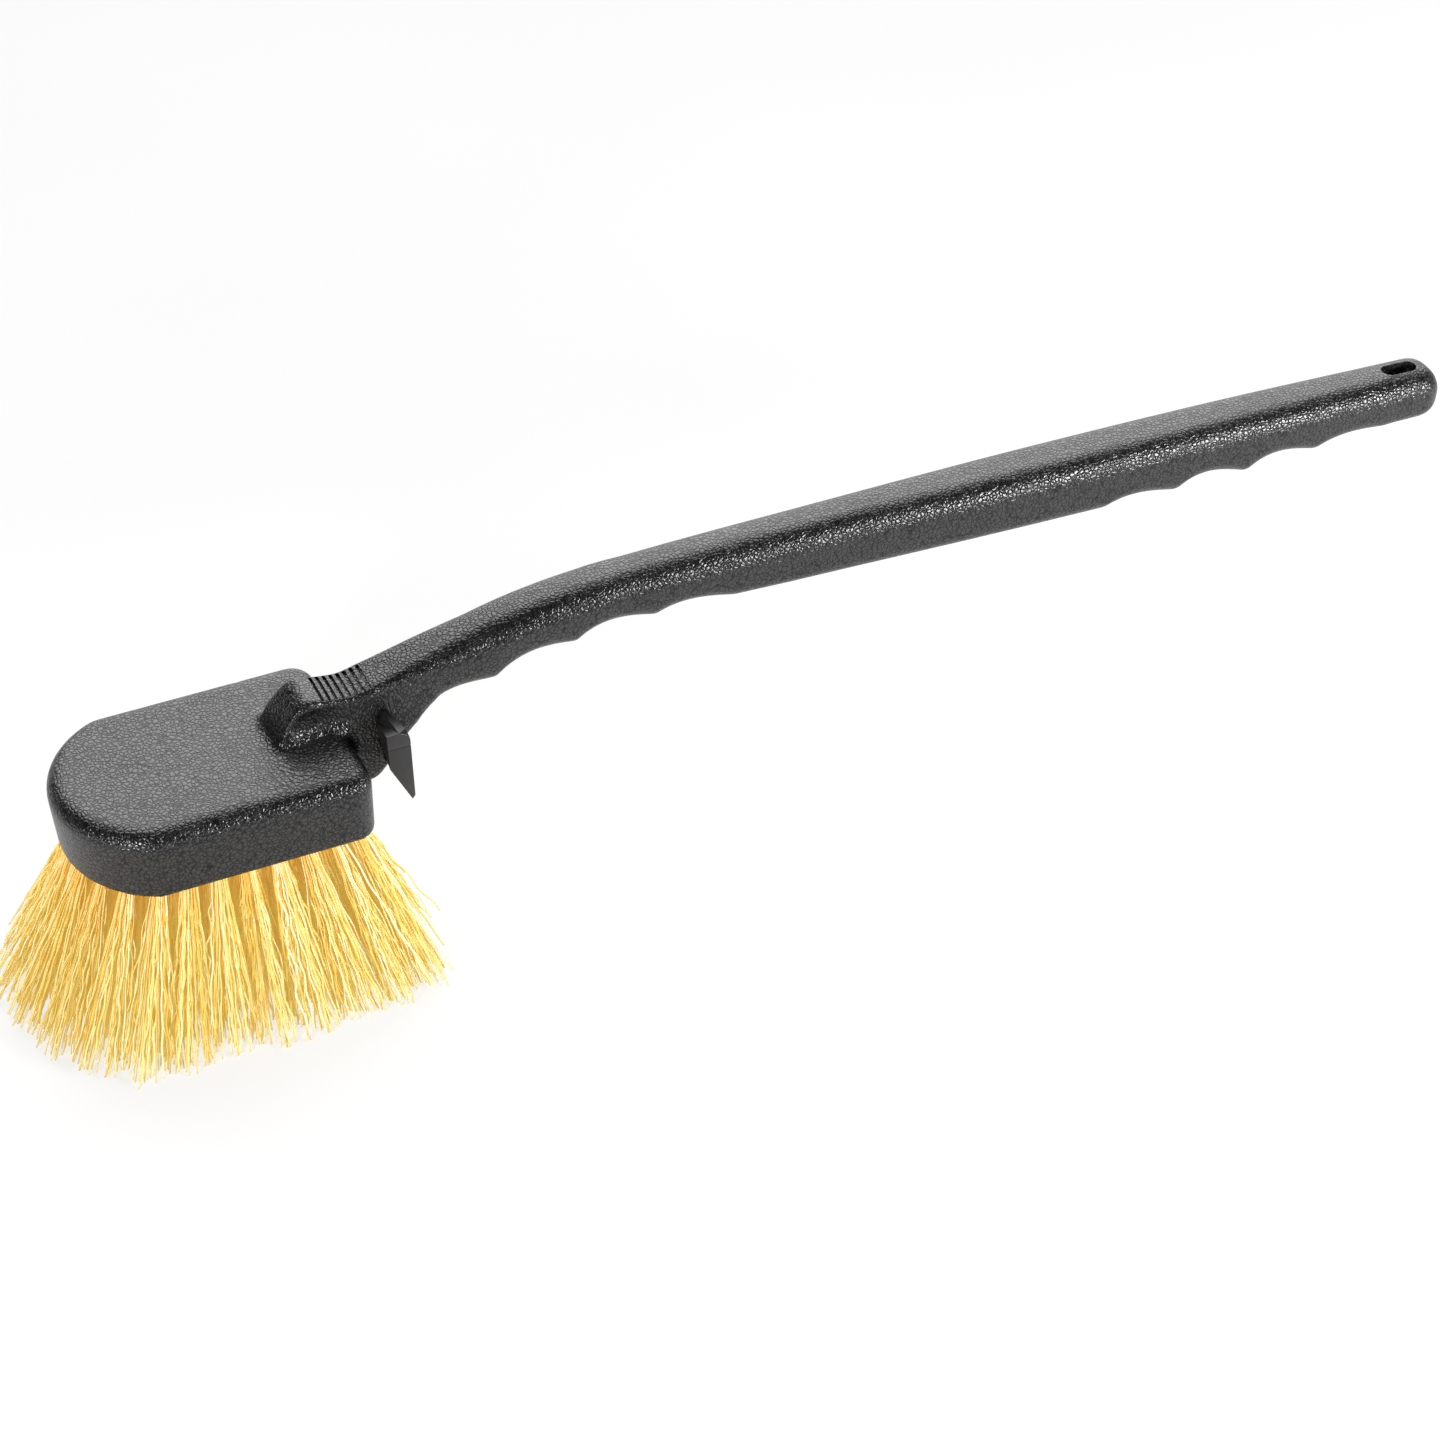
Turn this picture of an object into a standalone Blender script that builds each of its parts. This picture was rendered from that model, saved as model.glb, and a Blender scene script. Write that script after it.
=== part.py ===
"""Long-handled wheel and fender brush, built as the real one is made.

One moulded plastic body holds the block, a gooseneck with a ribbed thumb rest, and a long handle with
finger scallops and a hanging slot. A hard plastic scraper is pushed into the side of the neck. Each
bristle tuft is folded over a flat wire anchor and driven into its own blind hole in the block.

Design frame: x runs from the nose of the block to the end of the handle, y across the brush, z up from
the bristle side of the block. The empty "brush" sets the finished brush down on the tips of its bristles,
with the world origin under the middle of its bounding box. All sizes are in metres.
"""

import math

import bmesh
import bpy
from mathutils import Matrix, Vector

MM = 0.001

# Overall
OVERALL_LENGTH = 503 * MM
CLEARANCE = 0.3 * MM

# Block
BLOCK_LENGTH = 95 * MM
BLOCK_WIDTH = 67 * MM
BLOCK_HEIGHT = 24 * MM
NOSE_FLATNESS = 2.5 * MM
NOSE_BLEND = 12 * MM
BACK_CORNER_RADIUS = 8 * MM
TOP_EDGE_RADIUS = 6 * MM

# Neck and handle: heights above the top of the block
HUMP_RISE = 14.3 * MM
THUMB_REST_RISE = 12 * MM
HANDLE_RISE = 29.8 * MM
END_RISE = 24.3 * MM
NECK_HALF_WIDTH = 8 * MM
NECK_FOOT_HALF_WIDTH = 11.5 * MM
NECK_FOOT_GAP = 2.2 * MM
HANDLE_HALF_WIDTH = 9.6 * MM
GRIP_HALF_WIDTH = 11.1 * MM
END_HALF_WIDTH = 9.8 * MM
HANDLE_THICKNESS = 20.5 * MM
GRIP_THICKNESS = 23 * MM
END_THICKNESS = 18.7 * MM
END_ROUNDING = 9 * MM
END_DROP = 1.5 * MM

# Finger scallops: one set behind the neck, one at the end of the handle
FINGER_COUNT = 4
FINGER_PITCH = 28 * MM
FINGER_DEPTH = 3.6 * MM
FRONT_FINGER_SHARES = (0.8, 1, 0.95, 0.65)
REAR_FINGER_SHARES = (0.7, 1.15, 1.1, 0.6)
FIRST_FINGER_FROM_BLOCK = 22.4 * MM
LAST_FINGER_FROM_END = 23.5 * MM
FINGER_SKEW = 0.8

# Thumb rest
RIB_GROOVES = 8
RIB_PITCH = 2.25 * MM
RIB_WIDTH = 1.1 * MM
RIB_DEPTH = 0.8 * MM
RIB_LENGTH = 13 * MM
FIRST_RIB_FROM_BACK = 7.6 * MM

# Scoops in the neck's sides, behind the hump
SCOOP_FROM_BACK = 8 * MM
SCOOP_LENGTH = 27 * MM
SCOOP_HEIGHT = 12 * MM
SCOOP_CENTRE_HEIGHT = 31.2 * MM
SCOOP_DEPTH = 1.8 * MM
SCOOP_BULGE = 5.2 * MM
SCOOP_FULLNESS = 0.75

# Hanging slot
SLOT_LENGTH = 13.5 * MM
SLOT_WIDTH = 6.2 * MM
SLOT_CENTRE_FROM_END = 15 * MM

# Scraper: its section stands in the x-z plane and runs out sideways from the neck
SCRAPER_FROM_BACK = 7.3 * MM
SCRAPER_WIDTH = 8 * MM
SCRAPER_TOP = 28.8 * MM
SCRAPER_HEIGHT = 27.8 * MM
SCRAPER_SHOULDER = 13.2 * MM
SCRAPER_CHAMFER = 3 * MM
SCRAPER_EDGE = 1.2 * MM
SCRAPER_LEAN = 1.4 * MM
SCRAPER_REACH = 22 * MM
SCRAPER_SEAT = 6.5 * MM
SCRAPER_ROOT_WIDTH_SHARE = 0.3
SCRAPER_ROOT_HEIGHT_SHARE = 0.76
TANG_DEPTH = 9 * MM
TANG_WIDTH = 3 * MM
TANG_HEIGHT = 7 * MM

# Tufts and anchors
TRIM_LENGTH = 58 * MM
HOLE_RADIUS = 2.8 * MM
HOLE_DEPTH = 15 * MM
RING_TUFTS = (26, 18, 12)
RING_SPACING = 10 * MM
EDGE_INSET = 6.5 * MM
INNER_RING_HALF_WIDTH = 7 * MM
FLARE_ALONG = 1.476
FLARE_ACROSS = 1.63
FLARE_CENTRE_FROM_BACK = 41.2 * MM
TUFT_TIP_GAP = 1 * MM
TUFT_SIDES = 8
ANCHOR_THICKNESS = 0.8 * MM
ANCHOR_HEIGHT = 2.6 * MM
ANCHOR_BITE = 0.9 * MM
ANCHOR_FROM_BOTTOM = 1.2 * MM

LEAST_RADIUS = 0.5 * MM
ARC_STEPS = 4
SECTION_STEP = 5 * MM
PLAIN_SECTION_STEP = 15 * MM

BLACK_PLASTIC = ("black_plastic", (0.035, 0.034, 0.035), 0.5, 0.0)
SCRAPER_PLASTIC = ("scraper_plastic", (0.05, 0.048, 0.05), 0.3, 0.0)
YELLOW_BRISTLE = ("yellow_bristle", (0.88, 0.66, 0.22), 0.55, 0.0)


# ---------------------------------------------------------------- scene helpers

def clear_scene():
    for obj in list(bpy.data.objects):
        bpy.data.objects.remove(obj)


def new_collection(name):
    collection = bpy.data.collections.new(name)
    bpy.context.scene.collection.children.link(collection)
    return collection


def material(name, colour, roughness, metallic):
    found = bpy.data.materials.get(name)
    if found:
        return found
    made = bpy.data.materials.new(name)
    made.use_nodes = True
    shader = made.node_tree.nodes["Principled BSDF"]
    shader.inputs["Base Color"].default_value = (*colour, 1)
    shader.inputs["Roughness"].default_value = roughness
    shader.inputs["Metallic"].default_value = metallic
    return made


def add_object(name, data, collection, parent, finish=None):
    obj = bpy.data.objects.new(name, data)
    collection.objects.link(obj)
    obj.parent = parent
    if finish:
        data.materials.append(material(*finish))
    return obj


def mesh_of(name, bm):
    mesh = bpy.data.meshes.new(name)
    bmesh.ops.recalc_face_normals(bm, faces=bm.faces)
    bm.to_mesh(mesh)
    bm.free()
    return mesh


def as_cutter(obj):
    obj.hide_render = True
    obj.display_type = "WIRE"
    return obj


def boolean(obj, name, other, operation):
    modifier = obj.modifiers.new(name, "BOOLEAN")
    modifier.object = other
    modifier.operation = operation


def outline_mesh(name, points, height):
    """A closed outline in the x-y plane, as a solid from z = 0 up to the height."""
    curve = bpy.data.curves.new(name, "CURVE")
    curve.dimensions = "2D"
    curve.fill_mode = "BOTH"
    curve.extrude = height / 2
    spline = curve.splines.new("POLY")
    spline.points.add(len(points) - 1)
    for point, (x, y) in zip(spline.points, points):
        point.co = (x, y, 0, 1)
    spline.use_cyclic_u = True
    holder = bpy.data.objects.new(name + "_curve", curve)
    bpy.context.scene.collection.objects.link(holder)
    bpy.context.view_layer.update()
    mesh = bpy.data.meshes.new_from_object(holder.evaluated_get(bpy.context.evaluated_depsgraph_get()))
    bpy.data.objects.remove(holder)
    bm = bmesh.new()
    bm.from_mesh(mesh)
    bpy.data.meshes.remove(mesh)
    bmesh.ops.remove_doubles(bm, verts=bm.verts, dist=0.01 * MM)
    bmesh.ops.dissolve_limit(bm, angle_limit=math.radians(0.1), verts=bm.verts, edges=bm.edges)
    bmesh.ops.translate(bm, verts=bm.verts, vec=(0, 0, height / 2))
    return mesh_of(name, bm)


def box_mesh(name, low, high):
    bm = bmesh.new()
    bmesh.ops.create_cube(bm, size=1)
    size = Vector(high) - Vector(low)
    bmesh.ops.scale(bm, verts=bm.verts, vec=size)
    bmesh.ops.translate(bm, verts=bm.verts, vec=(Vector(low) + Vector(high)) / 2)
    return mesh_of(name, bm)


# ---------------------------------------------------------------- curves and profiles

def smooth(stations, x):
    """A smooth line through the stations (x, value), with level ends held beyond them."""
    if x <= stations[0][0]:
        return stations[0][1]
    if x >= stations[-1][0]:
        return stations[-1][1]

    def slope(i):
        before, after = stations[max(i - 1, 0)], stations[min(i + 1, len(stations) - 1)]
        return (after[1] - before[1]) / (after[0] - before[0])

    i = max(k for k in range(len(stations) - 1) if stations[k][0] <= x)
    (x0, v0), (x1, v1) = stations[i], stations[i + 1]
    span = x1 - x0
    t = (x - x0) / span
    return ((2 * t**3 - 3 * t**2 + 1) * v0 + (t**3 - 2 * t**2 + t) * span * slope(i)
            + (3 * t**2 - 2 * t**3) * v1 + (t**3 - t**2) * span * slope(i + 1))


def handle_top(x):
    """Height of the neck's and handle's top line."""
    back, top, end = BLOCK_LENGTH, BLOCK_HEIGHT, OVERALL_LENGTH
    return smooth([
        (back - 29.5 * MM, top - 7 * MM),
        (back - 24.5 * MM, top + 1 * MM),
        (back - 19.5 * MM, top + 0.65 * HUMP_RISE),
        (back - 13.5 * MM, top + HUMP_RISE),
        (back - 7 * MM, top + 0.5 * (HUMP_RISE + THUMB_REST_RISE)),
        (back + 1.5 * MM, top + THUMB_REST_RISE),
        (back + 9.5 * MM, top + THUMB_REST_RISE + 1.6 * MM),
        (back + 30.5 * MM, top + THUMB_REST_RISE + 0.42 * (HANDLE_RISE - THUMB_REST_RISE)),
        (back + 59.5 * MM, top + THUMB_REST_RISE + 0.8 * (HANDLE_RISE - THUMB_REST_RISE)),
        (back + 87.5 * MM, top + HANDLE_RISE - 0.4 * MM),
        (back + 160 * MM, top + HANDLE_RISE + 0.2 * MM),
        (end - 98 * MM, top + 0.4 * HANDLE_RISE + 0.6 * END_RISE + 0.9 * MM),
        (end, top + END_RISE),
    ], x)


def thickness(x):
    """Depth of the neck and handle below the top line, before the scallops are taken out."""
    back, top, end = BLOCK_LENGTH, BLOCK_HEIGHT, OVERALL_LENGTH
    foot = top + THUMB_REST_RISE - NECK_FOOT_GAP
    return smooth([
        (back - 29.5 * MM, 10 * MM),
        (back - 12.5 * MM, foot - 4 * MM),
        (back + 2 * MM, foot),
        (back + 9 * MM, foot + 0.3 * MM),
        (back + 20 * MM, 0.7 * foot + 0.6 * MM),
        (back + 32 * MM, HANDLE_THICKNESS + 0.3 * MM),
        (back + 50.5 * MM, HANDLE_THICKNESS + 0.6 * MM),
        (back + 106 * MM, HANDLE_THICKNESS - 1.1 * MM),
        (back + 160 * MM, HANDLE_THICKNESS + 0.8 * MM),
        (end - 140 * MM, GRIP_THICKNESS),
        (end - 80 * MM, GRIP_THICKNESS),
        (end - 20 * MM, END_THICKNESS),
    ], x)


def top_half_width(x):
    back, end = BLOCK_LENGTH, OVERALL_LENGTH
    return smooth([
        (back - 29.5 * MM, NECK_HALF_WIDTH + 3 * MM),
        (back - 22 * MM, NECK_HALF_WIDTH + 1.2 * MM),
        (back - 12.5 * MM, NECK_HALF_WIDTH),
        (back + 9.5 * MM, NECK_HALF_WIDTH + 0.2 * MM),
        (back + 50 * MM, HANDLE_HALF_WIDTH + 0.3 * MM),
        (back + 105 * MM, HANDLE_HALF_WIDTH),
        (back + 160 * MM, HANDLE_HALF_WIDTH + 0.3 * MM),
        (end - 170 * MM, GRIP_HALF_WIDTH),
        (end - 95 * MM, GRIP_HALF_WIDTH),
        (end - 10 * MM, END_HALF_WIDTH),
    ], x)


def bottom_half_width(x):
    back = BLOCK_LENGTH
    foot = smooth([
        (back - 29.5 * MM, NECK_FOOT_HALF_WIDTH + 2 * MM),
        (back - 10 * MM, NECK_FOOT_HALF_WIDTH + 0.8 * MM),
        (back + 8 * MM, NECK_FOOT_HALF_WIDTH - 1 * MM),
        (back + 30 * MM, HANDLE_HALF_WIDTH - 0.2 * MM),
    ], x)
    return foot if x < back + 30 * MM else top_half_width(x) - 0.4 * MM


def scallop(x):
    """How far the finger scallops rise above the handle's plain underside."""
    rear = OVERALL_LENGTH - LAST_FINGER_FROM_END - FINGER_COUNT * FINGER_PITCH
    for start, shares in ((BLOCK_LENGTH + FIRST_FINGER_FROM_BLOCK, FRONT_FINGER_SHARES), (rear, REAR_FINGER_SHARES)):
        along = (x - start) / FINGER_PITCH
        if 0 < along < FINGER_COUNT:
            return FINGER_DEPTH * shares[int(along)] * math.sin(math.pi * (along % 1) ** FINGER_SKEW)
    return 0.0


def corner_radii(x):
    """Radii of the top and the bottom edges: crisp on the thumb rest, soft on the handle."""
    back = BLOCK_LENGTH
    top = smooth([(back + 8 * MM, 2 * MM), (back + 45 * MM, 7.8 * MM)], x)
    bottom = smooth([(back + 8 * MM, 3 * MM), (back + 30 * MM, 6 * MM)], x)
    return top, bottom


def section(x):
    """The closed section of the neck or handle at x, as (y, z) points from the bottom right, anticlockwise."""
    top, bottom = handle_top(x), handle_top(x) - thickness(x) + scallop(x)
    wide, low = top_half_width(x), bottom_half_width(x)
    top_radius, bottom_radius = corner_radii(x)
    limit = 0.45 * (top - bottom)
    top_radius, bottom_radius = min(top_radius, limit), min(bottom_radius, limit)
    corners = [
        (low - bottom_radius, bottom + bottom_radius, bottom_radius, -90),
        (wide - top_radius, top - top_radius, top_radius, 0),
        (top_radius - wide, top - top_radius, top_radius, 90),
        (bottom_radius - low, bottom + bottom_radius, bottom_radius, 180),
    ]
    points = []
    for y, z, radius, start in corners:
        for step in range(ARC_STEPS + 1):
            angle = math.radians(start + 90 * step / ARC_STEPS)
            points.append((y + radius * math.cos(angle), z + radius * math.sin(angle)))
    return points


def section_places():
    """Where the sections stand: close together on curves and scallops, wide apart on the plain stretch."""
    start, end = BLOCK_LENGTH - 29.5 * MM, OVERALL_LENGTH - END_ROUNDING
    plain_from = BLOCK_LENGTH + FIRST_FINGER_FROM_BLOCK + FINGER_COUNT * FINGER_PITCH
    plain_to = OVERALL_LENGTH - LAST_FINGER_FROM_END - FINGER_COUNT * FINGER_PITCH
    places = []
    for low, high, step in ((start, plain_from - FINGER_COUNT * FINGER_PITCH, 0.7 * SECTION_STEP),
                            (plain_from - FINGER_COUNT * FINGER_PITCH, plain_from, FINGER_PITCH / 6),
                            (plain_from, plain_to, PLAIN_SECTION_STEP),
                            (plain_to, plain_to + FINGER_COUNT * FINGER_PITCH, FINGER_PITCH / 6),
                            (plain_to + FINGER_COUNT * FINGER_PITCH, end, SECTION_STEP)):
        count = max(1, round((high - low) / step))
        places += [low + (high - low) * i / count for i in range(count)]
    return places + [end]


def handle_mesh():
    """The neck and handle as a loft through its sections, with a rounded far end."""
    rings = [[(x, y, z) for y, z in section(x)] for x in section_places()]
    last = rings[-1]
    centre_z = sum(z for _, _, z in last) / len(last) - END_DROP
    for step in range(1, ARC_STEPS + 2):
        angle = math.radians(90 * step / (ARC_STEPS + 1.6))
        x = OVERALL_LENGTH - END_ROUNDING + END_ROUNDING * math.sin(angle)
        shrink = math.cos(angle) ** 0.8
        rings.append([(x, y * shrink, centre_z + (z - centre_z) * shrink) for _, y, z in last])
    bm = bmesh.new()
    loops = [[bm.verts.new(point) for point in ring] for ring in rings]
    for one, two in zip(loops, loops[1:]):
        for i in range(len(one)):
            j = (i + 1) % len(one)
            bm.faces.new((one[i], one[j], two[j], two[i]))
    bm.faces.new(loops[0])
    bm.faces.new(loops[-1])
    bmesh.ops.remove_doubles(bm, verts=bm.verts, dist=0.01 * MM)
    return mesh_of("neck_and_handle", bm)


# ---------------------------------------------------------------- block

def block_outline(end_inset=0.0, side_inset=0.0, steps=8):
    """The block's plan as (x, y) points, moved inwards by the insets: a broad nose arc, straight sides, a square
    back with rounded corners. It runs from the middle of the nose, round the +y side, back to the start."""
    half = BLOCK_WIDTH / 2 - side_inset
    back = BLOCK_LENGTH - end_inset
    nose = half + NOSE_FLATNESS
    nose_centre = end_inset + nose
    blend = max(NOSE_BLEND - side_inset, LEAST_RADIUS)
    corner = max(BACK_CORNER_RADIUS - side_inset, LEAST_RADIUS)
    # The blend arc touches the side and the nose arc from inside.
    blend_y = half - blend
    blend_x = nose_centre - math.sqrt((nose - blend) ** 2 - blend_y ** 2)
    meet = math.atan2(blend_y, nose_centre - blend_x)
    side = []
    for i in range(steps + 1):
        angle = meet * i / steps
        side.append((nose_centre - nose * math.cos(angle), nose * math.sin(angle)))
    for i in range(1, steps // 2 + 1):
        angle = meet + (math.pi / 2 - meet) * 2 * i / steps
        side.append((blend_x - blend * math.cos(angle), blend_y + blend * math.sin(angle)))
    for i in range(steps // 2 + 1):
        angle = math.pi / 2 * (1 - 2 * i / steps)
        side.append((back - corner + corner * math.cos(angle), half - corner + corner * math.sin(angle)))
    return side + [(x, -y) for x, y in reversed(side[1:])]


def block_mesh():
    """The block with its top edge rounded over."""
    mesh = outline_mesh("block", block_outline(), BLOCK_HEIGHT)
    bm = bmesh.new()
    bm.from_mesh(mesh)
    bpy.data.meshes.remove(mesh)
    top = [e for e in bm.edges if min(v.co.z for v in e.verts) > BLOCK_HEIGHT - 0.01 * MM
           and len({f for f in e.link_faces if f.normal.z < 0.5}) == 1]
    bmesh.ops.bevel(bm, geom=top, offset=TOP_EDGE_RADIUS, segments=ARC_STEPS, profile=0.5, affect="EDGES")
    return mesh_of("block", bm)


# ---------------------------------------------------------------- tufts

def along_closed(points, count):
    """Count places, evenly spaced along a closed line, symmetric about y = 0 and clear of it by half a pitch."""
    ends = points[1:] + points[:1]
    lengths = [math.dist(a, b) for a, b in zip(points, ends)]
    total = sum(lengths)
    places = []
    for i in range(count):
        target = total * (i + 0.5) / count
        k = 0
        while target > lengths[k]:
            target -= lengths[k]
            k += 1
        share = target / lengths[k]
        places.append(tuple(a + (b - a) * share for a, b in zip(points[k], ends[k])))
    return places


def tuft_places():
    """The holes' centres, ring by ring from the outside, all within the block's outline."""
    across = (BLOCK_WIDTH / 2 - EDGE_INSET - INNER_RING_HALF_WIDTH) / (len(RING_TUFTS) - 1)
    places = []
    for ring, count in enumerate(RING_TUFTS):
        outline = block_outline(EDGE_INSET + ring * RING_SPACING, EDGE_INSET + ring * across, steps=24)
        places += along_closed(outline, count)
    return places


def tuft_tip(place):
    """Where a tuft's tip stands: the tufts lean away from the middle of the block."""
    x, y = place
    centre = BLOCK_LENGTH - FLARE_CENTRE_FROM_BACK
    return centre + (x - centre) * FLARE_ALONG, y * FLARE_ACROSS


def tip_radius(place, places):
    x, y = tuft_tip(place)
    others = [tuft_tip(p) for p in places if p != place]
    return (min(math.dist((x, y), p) for p in others) - TUFT_TIP_GAP) / 2


def tuft_mesh(name, place, tip_r):
    """One tuft: a round plug that fills its hole, then a cone that leans out and spreads to the trimmed tip."""
    root_r = HOLE_RADIUS - CLEARANCE
    tip = tuft_tip(place)
    bm = bmesh.new()
    bmesh.ops.create_cone(bm, cap_ends=True, segments=TUFT_SIDES, radius1=tip_r, radius2=root_r, depth=TRIM_LENGTH)
    bmesh.ops.translate(bm, verts=bm.verts, vec=(0, 0, -TRIM_LENGTH / 2))
    ends = [v for v in bm.verts if v.co.z < -TRIM_LENGTH / 2]
    bmesh.ops.translate(bm, verts=ends, vec=(tip[0] - place[0], tip[1] - place[1], 0))
    root = [f for f in bm.faces if all(v.co.z > -0.01 * MM for v in f.verts)]
    made = bmesh.ops.extrude_face_region(bm, geom=root)["geom"]
    bmesh.ops.delete(bm, geom=root, context="FACES_ONLY")
    raised = [v for v in made if isinstance(v, bmesh.types.BMVert)]
    bmesh.ops.translate(bm, verts=raised, vec=(0, 0, HOLE_DEPTH - CLEARANCE))
    return mesh_of(name, bm)


def anchor_box(name, grow=0.0):
    """The flat wire anchor across the bottom of a hole, as a box about the hole's axis."""
    half_span = HOLE_RADIUS + ANCHOR_BITE + grow
    top = HOLE_DEPTH - ANCHOR_FROM_BOTTOM + grow
    return box_mesh(name, (-ANCHOR_THICKNESS / 2 - grow, -half_span, top - ANCHOR_HEIGHT - 2 * grow),
                    (ANCHOR_THICKNESS / 2 + grow, half_span, top))


def add_tufts(collection, cutters, root):
    """Every tuft with its anchor, which share one node, and the two tools that cut their holes."""
    places = tuft_places()
    anchor_mesh = anchor_box("anchor")
    groove_mesh = anchor_box("anchor_groove", CLEARANCE)
    holes, grooves = bmesh.new(), bmesh.new()
    for number, place in enumerate(places, start=1):
        name = f"tuft_{number:02d}"
        mesh = tuft_mesh(name, place, tip_radius(place, places))
        tuft = add_object(name, mesh, collection, root, YELLOW_BRISTLE)
        tuft.location = (*place, 0)
        anchor = as_cutter(add_object(f"anchor_{number:02d}", anchor_mesh, cutters, root))
        anchor.location = tuft.location
        boolean(tuft, "anchor", anchor, "UNION")
        at = Matrix.Translation((*place, 0))
        bmesh.ops.create_cone(holes, cap_ends=True, segments=TUFT_SIDES, radius1=HOLE_RADIUS,
                              radius2=HOLE_RADIUS, depth=2 * HOLE_DEPTH, matrix=at)
        first = len(grooves.verts)
        grooves.from_mesh(groove_mesh)
        grooves.verts.ensure_lookup_table()
        bmesh.ops.translate(grooves, verts=grooves.verts[first:], vec=(*place, 0))
    hole_cutter = as_cutter(add_object("tuft_holes", mesh_of("tuft_holes", holes), cutters, root))
    groove_cutter = as_cutter(add_object("anchor_grooves", mesh_of("anchor_grooves", grooves), cutters, root))
    return places, hole_cutter, groove_cutter


# ---------------------------------------------------------------- scraper

def scraper_outline(grow=0.0):
    """The scraper's section as (x, z) points: a thick root, and a front that slants back to the working edge."""
    front = BLOCK_LENGTH + SCRAPER_FROM_BACK - grow
    back = front + SCRAPER_WIDTH + 2 * grow
    top, tip = SCRAPER_TOP + grow, SCRAPER_TOP - SCRAPER_HEIGHT - grow
    return [
        (front, top),
        (front + 0.4 * SCRAPER_LEAN, SCRAPER_TOP - SCRAPER_SHOULDER),
        (back - SCRAPER_EDGE + SCRAPER_LEAN - grow, tip),
        (back + SCRAPER_LEAN, tip + SCRAPER_EDGE),
        (back, top - SCRAPER_CHAMFER),
        (back - SCRAPER_CHAMFER, top),
    ]


def scraper_prism(name, near, far, grow=0.0):
    """The section run sideways from y = -near to y = -far, growing from a slim root in the neck's wall."""
    plain, grown = scraper_outline(), scraper_outline(grow)
    centre = BLOCK_LENGTH + SCRAPER_FROM_BACK + SCRAPER_WIDTH / 2
    bm = bmesh.new()
    loops = []
    for reach in (near, far):
        out = (reach - SCRAPER_SEAT) / (SCRAPER_REACH - SCRAPER_SEAT)
        wide = SCRAPER_ROOT_WIDTH_SHARE + (1 - SCRAPER_ROOT_WIDTH_SHARE) * out
        high = SCRAPER_ROOT_HEIGHT_SHARE + (1 - SCRAPER_ROOT_HEIGHT_SHARE) * out
        loop = []
        for (x, z), (grown_x, grown_z) in zip(plain, grown):
            at_x = centre + (x - centre) * wide + grown_x - x
            at_z = SCRAPER_TOP + (z - SCRAPER_TOP) * high + grown_z - z
            loop.append(bm.verts.new((at_x, -reach, at_z)))
        loops.append(loop)
    inner, outer = loops
    bm.faces.new(inner)
    bm.faces.new(outer)
    sides = []
    for i in range(len(inner)):
        j = (i + 1) % len(inner)
        sides.append(bm.faces.new((inner[i], inner[j], outer[j], outer[i])))
    bmesh.ops.triangulate(bm, faces=sides)
    return mesh_of(name, bm)


def tang_mesh(name, grow=0.0):
    """The tang behind the scraper's seat, on the neck's centre."""
    centre = BLOCK_LENGTH + SCRAPER_FROM_BACK + SCRAPER_WIDTH / 2
    middle = SCRAPER_TOP - 0.6 * SCRAPER_SHOULDER
    inner = TANG_DEPTH - SCRAPER_SEAT
    return box_mesh(name, (centre - TANG_WIDTH / 2 - grow, -SCRAPER_SEAT - 2 * MM, middle - TANG_HEIGHT / 2 - grow),
                    (centre + TANG_WIDTH / 2 + grow, inner + grow, middle + TANG_HEIGHT / 2 + grow))


def add_scraper(collection, cutters, root):
    scraper = add_object("scraper", scraper_prism("scraper", SCRAPER_SEAT, SCRAPER_REACH), collection, root,
                         SCRAPER_PLASTIC)
    tang = as_cutter(add_object("scraper_tang", tang_mesh("scraper_tang"), cutters, root))
    boolean(scraper, "tang", tang, "UNION")
    socket_mesh = scraper_prism("scraper_socket", SCRAPER_SEAT - CLEARANCE, SCRAPER_REACH + 10 * MM, CLEARANCE)
    socket = as_cutter(add_object("scraper_socket", socket_mesh, cutters, root))
    tang_socket = as_cutter(add_object("tang_socket", tang_mesh("tang_socket", CLEARANCE), cutters, root))
    return socket, tang_socket


# ---------------------------------------------------------------- body

def rib_cutter(cutters, root):
    """The grooves across the thumb rest, each laid square to the surface under it."""
    bm = bmesh.new()
    for i in range(RIB_GROOVES):
        x = BLOCK_LENGTH - FIRST_RIB_FROM_BACK + i * RIB_PITCH
        rise = math.atan2(handle_top(x + 1 * MM) - handle_top(x - 1 * MM), 2 * MM)
        place = Matrix.Translation((x, 0, handle_top(x))) @ Matrix.Rotation(-rise, 4, "Y")
        size = Matrix.Diagonal((RIB_WIDTH, RIB_LENGTH, 2 * RIB_DEPTH, 1))
        bmesh.ops.create_cube(bm, size=1, matrix=place @ size)
    return as_cutter(add_object("rib_grooves", mesh_of("rib_grooves", bm), cutters, root))


def scoop_cutter(cutters, root):
    """A full-bellied hollow in each side of the neck, between the hump and the scraper."""
    x = BLOCK_LENGTH - SCOOP_FROM_BACK
    wall = 0.8 * top_half_width(x) + 0.2 * bottom_half_width(x)
    size = Vector((SCOOP_LENGTH / 2, SCOOP_BULGE, SCOOP_HEIGHT / 2))
    bm = bmesh.new()
    for side in (-1, 1):
        centre = Vector((x, side * (wall + SCOOP_BULGE - SCOOP_DEPTH), SCOOP_CENTRE_HEIGHT))
        ball = bmesh.ops.create_uvsphere(bm, u_segments=20, v_segments=10, radius=1)["verts"]
        for vertex in ball:
            full = [math.copysign(abs(c) ** SCOOP_FULLNESS, c) for c in vertex.co]
            vertex.co = centre + Vector(full) * size
    return as_cutter(add_object("neck_scoops", mesh_of("neck_scoops", bm), cutters, root))


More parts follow.
